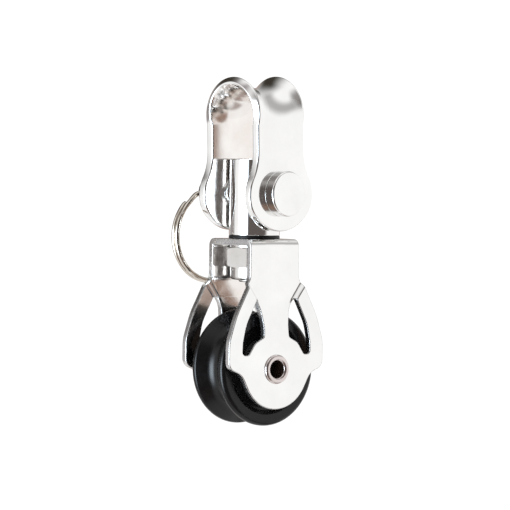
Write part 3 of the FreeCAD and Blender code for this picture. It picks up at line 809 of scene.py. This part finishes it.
def glow_material(name, colour):
    """A card that glows with one colour and fades to nothing towards its edges."""
    material = bpy.data.materials.new("glow_" + name)
    material.use_nodes = True
    tree = material.node_tree
    tree.nodes.clear()
    output = tree.nodes.new("ShaderNodeOutputMaterial")
    mix = tree.nodes.new("ShaderNodeMixShader")
    clear = tree.nodes.new("ShaderNodeBsdfTransparent")
    glow = tree.nodes.new("ShaderNodeEmission")
    fade = tree.nodes.new("ShaderNodeAttribute")
    fade.attribute_name = "fade"
    glow.inputs["Color"].default_value = (*colour, 1)
    tree.links.new(fade.outputs["Fac"], mix.inputs["Fac"])
    tree.links.new(clear.outputs["BSDF"], mix.inputs[1])
    tree.links.new(glow.outputs["Emission"], mix.inputs[2])
    tree.links.new(mix.outputs["Shader"], output.inputs["Surface"])
    return material


def studio_card(name, azimuths, elevations, colour, soft_sides, soft_ends, distance):
    """A curved card round the block, seen only in reflections, with soft edges.

    azimuths run from +X towards +Y, and elevations up from the horizon, in degrees.
    """
    vertices = []
    fades = []
    for row in range(CARD_ROWS + 1):
        for column in range(CARD_COLUMNS + 1):
            across = column / CARD_COLUMNS
            up = row / CARD_ROWS
            azimuth = math.radians(azimuths[0] + (azimuths[1] - azimuths[0]) * across)
            elevation = math.radians(elevations[0] + (elevations[1] - elevations[0]) * up)
            vertices.append((
                distance * math.cos(azimuth) * math.cos(elevation),
                distance * math.sin(azimuth) * math.cos(elevation),
                distance * math.sin(elevation) + CARD_CENTRE_HEIGHT,
            ))
            edge = min(across, 1 - across) / soft_sides
            rim = min(up, 1 - up) / soft_ends
            fades.append(smooth_step(edge, 0, 1) * smooth_step(rim, 0, 1))
    faces = []
    for row in range(CARD_ROWS):
        for column in range(CARD_COLUMNS):
            first = row * (CARD_COLUMNS + 1) + column
            above = first + CARD_COLUMNS + 1
            faces.append((first, first + 1, above + 1, above))
    mesh = bpy.data.meshes.new(name)
    mesh.from_pydata(vertices, [], faces)
    mesh.attributes.new("fade", "FLOAT", "POINT").data.foreach_set("value", fades)
    card = add_object("card_" + name, mesh, [glow_material(name, colour)])
    card.visible_camera = False
    card.visible_diffuse = False
    card.visible_shadow = False


# Cards round the block: name, azimuths, elevations, colour, softness of the sides and of the ends,
# distance.  The nearer ones lie in front of the further ones.
STUDIO_CARDS = [
    ("camera_side", (-84, 28), (-72, 56), (0.122, 0.104, 0.097), 0.17, 0.28, 1.20),
    ("camera_side_above", (-36, 42), (4, 84), (0.33, 0.315, 0.31), 0.4, 0.35, 1.30),
    ("right_above", (12, 132), (17, 60), (0.50, 0.495, 0.49), 0.2, 0.45, 1.35),
    ("far_left", (-182, -136), (-34, 40), (0.44, 0.41, 0.41), 0.2, 0.2, 1.20),
    ("far_patch", (102, 250), (-16, 89), (0.048, 0.041, 0.032), 0.37, 0.42, 1.10),
    ("far_low", (108, 186), (-40, 22), (0.36, 0.25, 0.20), 0.35, 0.35, 1.08),
    ("left_above", (-172, -66), (32, 66), (0.36, 0.33, 0.33), 0.25, 0.4, 1.30),
    ("below_front", (-74, 22), (-66, -30), (0.26, 0.17, 0.13), 0.30, 0.35, 0.82),
    ("below_right", (22, 112), (-64, -36), (0.46, 0.40, 0.385), 0.2, 0.3, 0.80),
    ("below_left", (-170, -112), (-74, -44), (0.56, 0.555, 0.55), 0.2, 0.3, 0.80),
    ("window", (-116, -64), (-46, 24), (11.5, 13.2, 14.8), 0.44, 0.42, 1.00),
]


def make_floor():
    """A pale floor well below the hanging block."""
    mesh = bpy.data.meshes.new("floor")
    signs = [(-1, -1), (1, -1), (1, 1), (-1, 1)]
    corners = [(x * FLOOR_REACH, y * FLOOR_REACH, FLOOR_LEVEL) for x, y in signs]
    mesh.from_pydata(corners, [], [(0, 1, 2, 3)])
    nodes = Nodes("floor_paint")
    mottle = nodes.noise(scale=3.0)
    colour = nodes.tint(mottle, (0.93, 0.93, 0.93), (0.95, 0.95, 0.95))
    nodes.link(colour, nodes.shader.inputs["Base Color"])
    nodes.shader.inputs["Roughness"].default_value = 0.9
    add_object("floor", mesh, [nodes.material])


def make_studio():
    """A white world, the cards that the steel mirrors, and the floor."""
    scene = bpy.context.scene
    scene.view_settings.view_transform = "Standard"
    scene_world = bpy.data.worlds.new("studio")
    scene.world = scene_world
    scene_world.use_nodes = True
    background = scene_world.node_tree.nodes["Background"]
    background.inputs["Color"].default_value = (1.0, 1.0, 1.0, 1)
    background.inputs["Strength"].default_value = WORLD_STRENGTH
    for card in STUDIO_CARDS:
        studio_card(*card)
    make_floor()


make_studio()
